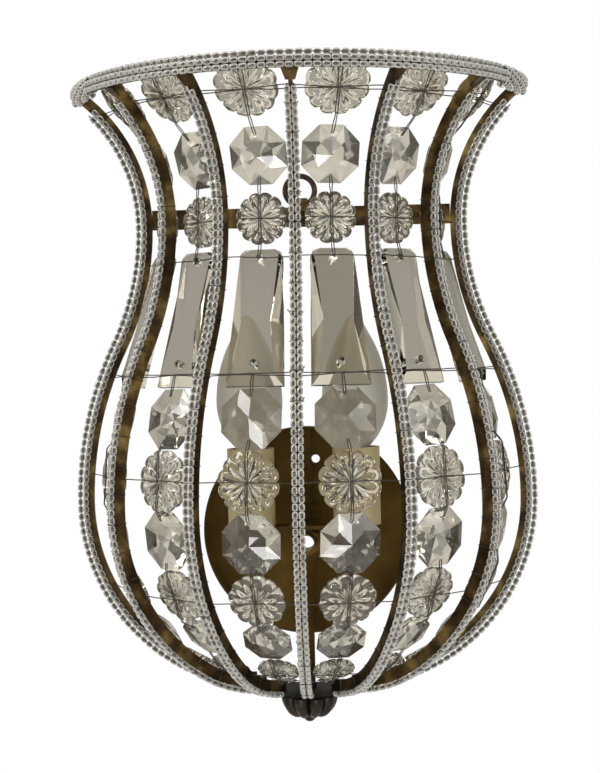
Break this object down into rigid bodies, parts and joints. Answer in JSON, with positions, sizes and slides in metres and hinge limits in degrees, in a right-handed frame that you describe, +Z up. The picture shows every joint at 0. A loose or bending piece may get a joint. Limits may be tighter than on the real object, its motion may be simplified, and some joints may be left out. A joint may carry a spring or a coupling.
{
  "type": "crystal wall sconce",
  "caption": "Half-basket wall light: flared gilt ribs strung with glass beads and cut crystals round two candle lamps on a round backplate.",
  "frame": {"origin": "centre of the round backplate, on the wall plane, where the two wall screws' circle is centred", "axes": "+X to the viewer's right, +Z up, +Y into the wall; the basket stands out towards -Y"},
  "size_m": [0.253, 0.103, 0.3493],
  "materials": {
    "gilt_iron": "worn antique gilding over iron, dark brown in the hollows",
    "ring_wire": "dark browned iron wire",
    "old_gold": "aged matt gold, lightly mottled",
    "dark_bronze": "dark patinated bronze",
    "brass_fitting": "plain turned brass",
    "holder_plastic": "moulded off-white",
    "cream_sleeve": "cream candle sleeve",
    "frosted_glass": "frosted white",
    "bead_glass": "clear pressed beads",
    "cut_crystal": "clear polished crystal",
    "binding_wire": "thin darkened wire"
  },
  "bodies": {
    "basket": {"rim_band": "gilt_iron", "rib_1": "gilt_iron", "rib_2": "gilt_iron", "rib_3": "gilt_iron", "rib_4": "gilt_iron", "rib_5": "gilt_iron", "rib_6": "gilt_iron", "rib_7": "gilt_iron", "bottom_hub": "gilt_iron", "top_crossbar": "gilt_iron", "back_spine": "old_gold", "backplate": "old_gold", "bracket_nipple": "brass_fitting", "bracket_nut": "brass_fitting", "lamp_bracket": "old_gold", "lampholder_left": "holder_plastic", "lampholder_right": "holder_plastic", "lampholder_nuts": "brass_fitting", "candle_sleeve_left": "cream_sleeve", "candle_sleeve_right": "cream_sleeve", "finial_cup": "dark_bronze", "finial_screw": "dark_bronze", "finial_nut": "dark_bronze", "rim_beads": "bead_glass", "rib_beads_1": "bead_glass", "rib_beads_2": "bead_glass", "rib_beads_3": "bead_glass", "rib_beads_4": "bead_glass", "rib_beads_5": "bead_glass", "rib_beads_6": "bead_glass", "rib_beads_7": "bead_glass", "rosette_row_1": "cut_crystal", "octagon_row_2": "cut_crystal", "rosette_row_3": "cut_crystal", "prism_row_4": "cut_crystal", "octagon_row_5": "cut_crystal", "rosette_row_6": "cut_crystal", "octagon_row_7": "cut_crystal", "rosette_row_8": "cut_crystal", "octagon_row_9": "cut_crystal", "rosette_row_10": "cut_crystal", "drop_row_11": "cut_crystal", "column_wires_1": "binding_wire", "column_wires_2": "binding_wire", "column_wires_3": "binding_wire", "column_wires_4": "binding_wire", "column_wires_5": "binding_wire", "column_wires_6": "binding_wire"},
    "hanging_ring": {"hanging_ring": "ring_wire"},
    "bulb_left": {"bulb_cap_left": "brass_fitting", "bulb_glass_left": "frosted_glass"},
    "bulb_right": {"bulb_cap_right": "brass_fitting", "bulb_glass_right": "frosted_glass"}
  },
  "joints": [
    {"name": "hanging_ring_swing", "type": "hinge", "parent": "basket", "child": "hanging_ring", "pos_m": [0, -0.0052, 0.178], "axis": [1, 0, 0], "range_deg": [-3, 170]},
    {"name": "bulb_left_lift", "type": "slide", "parent": "basket", "child": "bulb_left", "axis": [0, 0, 1], "range_m": [0, 0.24]},
    {"name": "bulb_right_lift", "type": "slide", "parent": "basket", "child": "bulb_right", "axis": [0, 0, 1], "range_m": [0, 0.24]}
  ]
}
